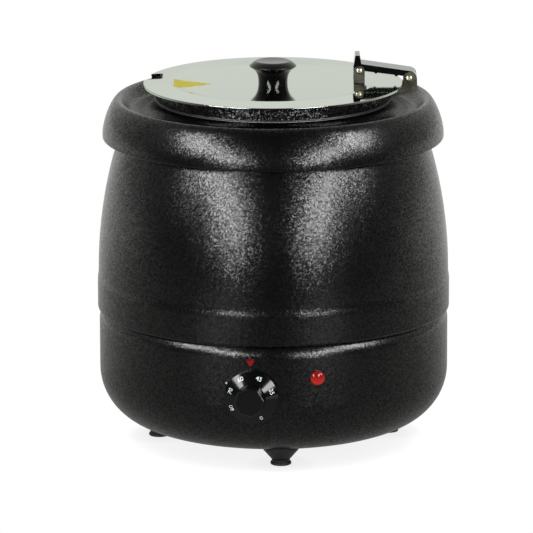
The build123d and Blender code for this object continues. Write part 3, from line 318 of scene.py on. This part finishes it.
def brass(name, color, roughness):
    """Brass with darker tarnish in patches."""
    mat, tree, bsdf = shader(name, color, 1, roughness)
    tarnish_and_shade = grey_noise(tree, scale=260, detail=5.0)
    vary_color(tree, bsdf, tarnish_and_shade, (0.35, 0.7), dimmed(color, 0.6), color)
    vary_roughness(tree, bsdf, tarnish_and_shade, roughness * 1.3, roughness * 0.8)
    bump(tree, bsdf, tarnish_and_shade, strength=0.06, height=0.0001)
    return mat


def moulded(name, color, roughness, grain_scale, relief, shade=1.6):
    """Plastic, rubber, ceramic or ink with fine surface grain and a slight change of tone."""
    mat, tree, bsdf = shader(name, color, 0, roughness)
    grain = grey_noise(tree, grain_scale, detail=4.0)
    clouds = grey_noise(tree, scale=45, detail=3.0)
    paler = [min(1, part) for part in dimmed(color, shade)]
    vary_color(tree, bsdf, clouds, NOISE_SPAN, color, paler)
    vary_roughness(tree, bsdf, grain, roughness * 0.8, roughness * 1.25)
    bump(tree, bsdf, grain, relief, height=0.0002)
    return mat


def red_glass(name, color, facet_scale, glow):
    """Clear red plastic with small moulded facets inside. Its glow is painted light, strongest in its lower
    half, standing in for light gathered there.
    """
    mat, tree, bsdf = shader(name, color, 0, 0.08, Emission_Color=(1.0, 0.045, 0.025, 1))
    cells = value_of(texture(tree, "Voronoi", facet_scale))
    vary_color(tree, bsdf, cells, (0.0, 0.7), color, dimmed(color, 0.45))
    # Painted light: emission that grows where the surface faces down.
    painted_glow = remap(tree, part_of(tree, room_normal(tree), "Z"), (-0.4, 0.35), glow, glow * 0.08)
    tree.links.new(painted_glow, bsdf.inputs["Emission Strength"])
    bump(tree, bsdf, cells, strength=0.35, height=0.0002)
    return mat


def wool():
    """Mineral wool: matted fibres."""
    mat, tree, bsdf = shader("mineral_wool_mat", (0.55, 0.50, 0.33), 0, 0.95)
    fibres = grey_noise(tree, scale=300, detail=8.0, stretch=(1, 1, 0.25), Distortion=1.5)
    vary_color(tree, bsdf, fibres, NOISE_SPAN, (0.30, 0.26, 0.15), (0.66, 0.61, 0.43))
    bump(tree, bsdf, fibres, strength=0.8, height=0.001)
    return mat


def film(name, color):
    """Printed film with a faint diagonal emboss."""
    mat, tree, bsdf = shader(name, color, 0, 0.4, Specular_IOR_Level=0.05)
    emboss = value_of(texture(tree, "Wave", 900, bands_direction="DIAGONAL"))
    clouds = grey_noise(tree, scale=150, detail=3.0)
    vary_color(tree, bsdf, clouds, NOISE_SPAN, dimmed(color, 0.88), color)
    bump(tree, bsdf, emboss, strength=0.05, height=0.00005)
    return mat


# ---- Looks of the CAD nodes -------------------------------------------------------------
POT_TOP = max(v.co.z for v in NODES["soup_pot"].data.vertices)
FLANGE_DEPTH = 0.002            # metres of the pot's top that get painted shade

MIRROR = (0.50, 0.548, 0.475)
POT_SHEET = (0.36, 0.36, 0.345)
POLISHED_STRIP = (0.215, 0.24, 0.205)

# After its name and colour, a look takes its roughness (but the red glass has its own), then
# its texture's cells per metre, then its relief.
LOOKS = {
    "black_powder_coat": powder_coat("textured_black_coat", spread=0.12),
    "polished_steel": turned_steel("mirror_polish", MIRROR, 0.06, 420, relief=0.02, hollow=0.19),
    # The pot's top flange gets painted shade.
    "pot_steel": drawn_steel("pot_sheet", POT_SHEET, 0.36, shade_above=POT_TOP - FLANGE_DEPTH),
    "hinge_steel": strip_steel("polished_strip", POLISHED_STRIP, 0.10, relief=0.3),
    "sheet_steel": drawn_steel("plain_sheet", (0.52, 0.52, 0.51), 0.36),
    "zinc_steel": zinc(),
    "rivet_brass": brass("rivet_head", (0.80, 0.74, 0.60), 0.34),
    "brass": brass("plain_brass", (0.72, 0.52, 0.24), 0.26),
    "gloss_black": moulded("gloss_moulding", (0.0015, 0.0015, 0.0015), 0.12, 1500, 0.015),
    "matte_black": moulded("matt_moulding", (0.004, 0.004, 0.004), 0.42, 1300, 0.1),
    "rubber_black": moulded("black_rubber", (0.007, 0.007, 0.007), 0.55, 1700, 0.15),
    "red_lens": red_glass("red_lamp_lens", (0.30, 0.008, 0.006), 700, glow=0.30),
    # The pointer has no lamp behind it: its glow is painted light.
    "red_pointer": red_glass("red_pointer_lens", (0.20, 0.006, 0.008), 500, glow=0.16),
    "yellow_film": film("yellow_label_film", (0.60, 0.52, 0.012)),
    "mineral_wool": wool(),
    "ceramic_white": moulded("white_ceramic", (0.72, 0.71, 0.66), 0.45, 900, 0.1, shade=1.15),
    "wire_insulation": moulded("wire_sleeve", (0.42, 0.05, 0.035), 0.42, 1400, 0.1),
}
SATIN_STRIP = strip_steel("satin_strip", (0.13, 0.128, 0.10), 0.38, relief=1.0)
OWN_LOOKS = {
    "hinge_bracket": SATIN_STRIP,
    "lid_bracket": SATIN_STRIP,
    "lid_ring": powder_coat("coarse_black_coat", spread=0.34),
    # Painted shade in the rim's dish: gloss cut within 128 mm of the axis.
    "top_rim": powder_coat("rim_black_coat", spread=0.12, shade_within=0.128),
}


def paint_cad_nodes():
    """Gives every CAD node its own look, or the look of its material slot."""
    slots = {part["node"]: part["material_slot"] for part in frame["record"]["subparts"]}
    for name, obj in NODES.items():
        obj.data.materials.clear()
        obj.data.materials.append(OWN_LOOKS.get(name, LOOKS[slots[name]]))


paint_cad_nodes()


# ---- Print on the dial, and a white dot beside it ---------------------------------------
DIAL_JOINT = JOINTS["dial_turn"]
DIAL_CENTRE = Vector(DIAL_JOINT["pos_m"])
DIAL_OUT = Vector(DIAL_JOINT["axis"]).normalized()
DIAL_UP = Vector((0, 0, 1))
DIAL_RIGHT = DIAL_UP.cross(DIAL_OUT).normalized()

WHITE_INK = moulded("white_ink", (0.62, 0.72, 0.76), 0.45, 900, 0.05, shade=1.1)


def piece(name, mesh, look, body):
    """Adds a piece that rides on a CAD body."""
    mesh.materials.append(look)
    obj = bpy.data.objects.new(name, mesh)
    bpy.context.scene.collection.objects.link(obj)
    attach(obj, body)


def dial_direction(turn):
    """Direction in the dial's plane: right at a turn of 0, up at a quarter turn, in radians."""
    return DIAL_RIGHT * math.cos(turn) + DIAL_UP * math.sin(turn)


# Each number of the dial with its angle in degrees.
DIAL_MARKS = ((0, -62.5), (35, 20.5), (45, 68.5), (60, 119.0), (70, 161.0), (80, 207.5))
NUMERAL_RADIUS = 20.6 * MM
NUMERAL_HEIGHT = 6.0 * MM
INK_HALF_DEPTH = 0.00006        # metres
INK_SPREAD = 0.00003            # how far the ink widens each stroke, in metres
INK_LIFT = 0.00005              # middle of the ink above the skirt, in metres
SKIRT_EDGE = (25.5 * MM, 2.2 * MM)      # radius and height above the dial's back
SKIRT_TOP = (14.4 * MM, 8.6 * MM)


def letter_mesh(text):
    """Mesh of a numeral, centred on the origin, in the XY plane."""
    curve = bpy.data.curves.new("letters", "FONT")
    curve.body = text
    curve.size = NUMERAL_HEIGHT
    curve.align_x = "CENTER"
    curve.align_y = "CENTER"
    curve.extrude = INK_HALF_DEPTH
    curve.offset = INK_SPREAD
    obj = bpy.data.objects.new("letters", curve)
    bpy.context.scene.collection.objects.link(obj)
    bpy.context.view_layer.update()
    evaluated = obj.evaluated_get(bpy.context.evaluated_depsgraph_get())
    mesh = bpy.data.meshes.new_from_object(evaluated)
    bpy.data.objects.remove(obj)
    bpy.data.curves.remove(curve)
    return mesh


def dial_back():
    """Distance from the dial joint's point to the plane of the dial's back, along its axis."""
    verts = NODES["temperature_dial"].data.vertices
    return min((v.co - DIAL_CENTRE).dot(DIAL_OUT) for v in verts)


def skirt_place(radius, angle_deg):
    """Frame on the dial's conical skirt: its tangent, outward and normal, then its origin."""
    radial = dial_direction(math.radians(angle_deg))
    (edge_r, edge_h), (top_r, top_h) = SKIRT_EDGE, SKIRT_TOP
    share = (edge_r - radius) / (edge_r - top_r)
    height = edge_h + (top_h - edge_h) * share
    outward = (radial * (edge_r - top_r) - DIAL_OUT * (top_h - edge_h)).normalized()
    tangent = outward.cross(DIAL_OUT).normalized()
    normal = tangent.cross(outward).normalized()
    point = DIAL_CENTRE + DIAL_OUT * (dial_back() + height) + radial * radius
    return tangent, outward, normal, point


def dial_numerals():
    """White numerals printed round the skirt of the dial, their tops outwards."""
    for number, angle in DIAL_MARKS:
        mesh = letter_mesh(str(number))
        tangent, outward, normal, point = skirt_place(NUMERAL_RADIUS, angle)
        matrix = Matrix((tangent, outward, normal)).transposed().to_4x4()
        matrix.translation = point + normal * INK_LIFT
        mesh.transform(matrix)
        piece(f"dial_numeral_{number}", mesh, WHITE_INK, "dial")


WHITE_DOT_ANGLE = 154.6
WHITE_DOT_REACH = 28.4 * MM     # distance from the dial's axis
WHITE_DOT_R = 1.0 * MM
WHITE_DOT_TOP = 0.15 * MM
WHITE_DOT_RINGS = ((1.0, -0.3 * MM), (1.0, 0.0), (0.8, 0.12 * MM))     # size, lift off the wall
WHITE_DOT_STEPS = 24


def scale_dot_verts():
    """Rings of the dot's corners from its back in the wall outwards, and its tip last."""
    middle = DIAL_CENTRE + dial_direction(math.radians(WHITE_DOT_ANGLE)) * WHITE_DOT_REACH
    wall_r = max(v.co.x for v in NODES["base_shell"].data.vertices)

    def on_wall(turn, size, lift):
        spot = middle + dial_direction(turn) * WHITE_DOT_R * size
        flat = Vector((spot.x, spot.y, 0)).normalized() * (wall_r + lift)
        return flat.x, flat.y, spot.z

    turns = [2 * math.pi * step / WHITE_DOT_STEPS for step in range(WHITE_DOT_STEPS)]
    verts = [on_wall(turn, size, lift) for size, lift in WHITE_DOT_RINGS for turn in turns]
    verts.append(on_wall(0, 0, WHITE_DOT_TOP))
    return verts


def scale_dot_faces(tip):
    """Back, walls and dome of the dot, given the number of its tip."""
    steps = WHITE_DOT_STEPS
    last = tip - steps
    faces = [tuple(reversed(range(steps)))]
    for step in range(steps):
        after = (step + 1) % steps
        for low in range(0, last, steps):
            faces.append((low + step, low + after, low + steps + after, low + steps + step))
        faces.append((last + step, last + after, tip))
    return faces


def scale_dot():
    """Small white domed dot on the wall just outside the dial's skirt."""
    verts = scale_dot_verts()
    mesh = bpy.data.meshes.new("scale_dot")
    mesh.from_pydata(verts, [], scale_dot_faces(len(verts) - 1))
    mesh.update()
    piece("scale_dot", mesh, WHITE_INK, "kettle")


dial_numerals()
scale_dot()


# ---- Room and floor ---------------------------------------------------------------------
# Brightness of the room by depth, from -1 (in front of the kettle) to 1 (behind it).
ROOM_TONES = ((-1.0, 0.002), (-0.5, 0.025), (-0.1, 0.17), (0.3, 0.32), (0.7, 0.58), (0.97, 0.86))
ROOM_TINT = (1, 1.01, 0.98)
LEVEL_STRENGTH = 0.78           # strength of the room's light at the horizon
HIGH_STRENGTH = 1.35            # and from HIGH_Z up
HIGH_Z = 0.5


def room_tone(tree, depth):
    """Colour of the room at a depth between -1 and 1."""
    ramp = tree.nodes.new("ShaderNodeValToRGB")
    elements = ramp.color_ramp.elements
    while len(elements) < len(ROOM_TONES):
        elements.new(0.5)
    for element, (place, tone) in zip(elements, ROOM_TONES):
        element.position = (place + 1) / 2
        element.color = (*(tone * tint for tint in ROOM_TINT), 1)
    tree.links.new(remap(tree, depth, (-1, 1), 0, 1), ramp.inputs["Fac"])
    return ramp.outputs["Color"]


def surroundings():
    """Studio surroundings: bright behind and overhead, dark in front."""
    world = bpy.data.worlds.new("studio")
    bpy.context.scene.world = world
    world.use_nodes = True
    tree = world.node_tree
    background = tree.nodes["Background"]
    direction = tree.nodes.new("ShaderNodeTexCoord").outputs["Generated"]
    tree.links.new(room_tone(tree, part_of(tree, direction, "Y")), background.inputs["Color"])
    up = part_of(tree, direction, "Z")
    strength = remap(tree, up, (0, HIGH_Z), LEVEL_STRENGTH, HIGH_STRENGTH)
    tree.links.new(strength, background.inputs["Strength"])


FLOOR_HALF = 12.0               # half the floor's width, in metres
FLOOR_DEPTH = (-1.2, 1.2)       # metres in front of and behind the axis
FLOOR_TONES = (-0.6, 1.2)       # room depth whose tone the floor has there
POOL_LEFT = (-0.37, -0.60, 0)   # light of the low softboxes spilled on the floor
POOL_RIGHT = (0.35, -0.62, 0)
POOL_REACH = 0.24
POOL_STRENGTH = 1.2
SHADE_REACH = 0.022             # metres round a foot that are shaded
SHADE_SAMPLES = 8
SHADED = (0.72, 0.72, 0.72)
UNSHADED = (1.0, 1.0, 1.0)


def emission(tree, key, source):
    """Emission shader with its colour or its strength linked."""
    node = tree.nodes.new("ShaderNodeEmission")
    tree.links.new(source, node.inputs[key])
    return node.outputs["Emission"]


def pool(tree, middle):
    """Brightness of one pool of light."""
    gap = vector_math(tree, "DISTANCE", position(tree), middle)
    return remap(tree, gap, (0, POOL_REACH), POOL_STRENGTH, 0)


def mirrored_floor(tree):
    """Floor as it lights the kettle and is reflected in it: the room's tone and two pools."""
    depth = remap(tree, part_of(tree, position(tree), "Y"), FLOOR_DEPTH, *FLOOR_TONES)
    pools = combine(tree, "ADD", pool(tree, POOL_LEFT), pool(tree, POOL_RIGHT))
    both = tree.nodes.new("ShaderNodeAddShader")
    tree.links.new(emission(tree, "Color", room_tone(tree, depth)), both.inputs[0])
    tree.links.new(emission(tree, "Strength", pools), both.inputs[1])
    return both.outputs["Shader"]


def seen_floor(tree):
    """Floor as the camera sees it: almost white, with soft shade near the feet."""
    shade = tree.nodes.new("ShaderNodeAmbientOcclusion")
    shade.inputs["Distance"].default_value = SHADE_REACH
    shade.samples = SHADE_SAMPLES
    color = blend_colors(tree, shade.outputs["AO"], (0, 1), SHADED, UNSHADED)
    return emission(tree, "Color", color)


def floor_material():
    """Material that the camera sees one way, and the kettle another."""
    mat = bpy.data.materials.new("pale_floor")
    mat.use_nodes = True
    tree = mat.node_tree
    tree.nodes.remove(tree.nodes["Principled BSDF"])
    path = tree.nodes.new("ShaderNodeLightPath")
    mix = tree.nodes.new("ShaderNodeMixShader")
    tree.links.new(path.outputs["Is Camera Ray"], mix.inputs["Fac"])
    tree.links.new(mirrored_floor(tree), mix.inputs[1])
    tree.links.new(seen_floor(tree), mix.inputs[2])
    tree.links.new(mix.outputs["Shader"], tree.nodes["Material Output"].inputs["Surface"])
    return mat


def floor():
    """Large pale floor at the height of the table."""
    half = FLOOR_HALF
    mesh = bpy.data.meshes.new("floor")
    corners = [(-half, -half, 0), (half, -half, 0), (half, half, 0), (-half, half, 0)]
    mesh.from_pydata(corners, [], [(0, 1, 2, 3)])
    mesh.materials.append(floor_material())
    obj = bpy.data.objects.new("floor", mesh)
    bpy.context.scene.collection.objects.link(obj)


# ---- Lights and camera ------------------------------------------------------------------
SOFTBOX_AIM = Vector((0, 0, 0.2))
SOFTBOX_DISTANCE = 2.2


def facing(away, roll_deg):
    """Turn of a light or camera that looks back along a direction, with a roll in degrees."""
    roll = Matrix.Rotation(math.radians(roll_deg), 4, "Z")
    return away.to_track_quat("Z", "Y").to_matrix().to_4x4() @ roll


def everything_but(name):
    """Light group that leaves out one CAD node."""
    group = bpy.data.collections.new("all_but_" + name)
    group.objects.link(NODES[name])
    group.collection_objects[0].light_linking.link_state = "EXCLUDE"
    return group


def softbox(name, azimuth, elevation, width, height, power, lean, targets=None):
    """Area light that faces the kettle. Azimuth 0 is in front, positive to the right."""
    a, e = math.radians(azimuth), math.radians(elevation)
    away = Vector((math.sin(a) * math.cos(e), -math.cos(a) * math.cos(e), math.sin(e)))
    data = bpy.data.lights.new(name, "AREA")
    data.shape = "RECTANGLE"
    data.size = width
    data.size_y = height
    data.energy = power
    obj = bpy.data.objects.new(name, data)
    obj.location = SOFTBOX_AIM + away * SOFTBOX_DISTANCE
    obj.rotation_euler = facing(away, lean).to_euler()
    if targets:
        obj.light_linking.receiver_collection = targets
    bpy.context.scene.collection.objects.link(obj)


def softboxes():
    """Two low softboxes, and two high ones that leave out the mirror lid, which they'd blow out."""
    no_lid = everything_but("lid_plate")
    softbox("low_left", -32, 14, width=0.46, height=1.25, power=22, lean=49)
    softbox("high_left", -56, 29.5, width=0.72, height=0.86, power=21, lean=14, targets=no_lid)
    softbox("low_right", 33, 14, width=0.50, height=1.25, power=22, lean=-49)
    softbox("high_right", 60, 29.5, width=0.74, height=0.86, power=23, lean=-14, targets=no_lid)


CAMERA_TARGET = Vector((0, 0, 0.1858))
CAMERA_DISTANCE = 4.965
CAMERA_ELEVATION = 13.31        # degrees
CAMERA_ROLL = -0.144            # degrees
CAMERA_SENSOR = 36.0            # millimetres, as is the lens
CAMERA_LENS = 346.8
CAMERA_SHIFT = (-0.0129, -0.0364)
CAMERA_REACH = 40.0


def camera():
    """Camera in front and a little above, far off with a long lens."""
    elevation = math.radians(CAMERA_ELEVATION)
    away = Vector((0, -math.cos(elevation), math.sin(elevation)))
    place = CAMERA_TARGET + away * CAMERA_DISTANCE
    data = bpy.data.cameras.new("camera")
    data.sensor_width = CAMERA_SENSOR
    data.lens = CAMERA_LENS
    data.shift_x, data.shift_y = CAMERA_SHIFT
    data.clip_end = CAMERA_REACH
    obj = bpy.data.objects.new("camera", data)
    obj.matrix_world = Matrix.Translation(place) @ facing(away, CAMERA_ROLL)
    bpy.context.scene.collection.objects.link(obj)
    bpy.context.scene.camera = obj


floor()
surroundings()
softboxes()
camera()
bpy.context.scene.view_settings.view_transform = "Standard"
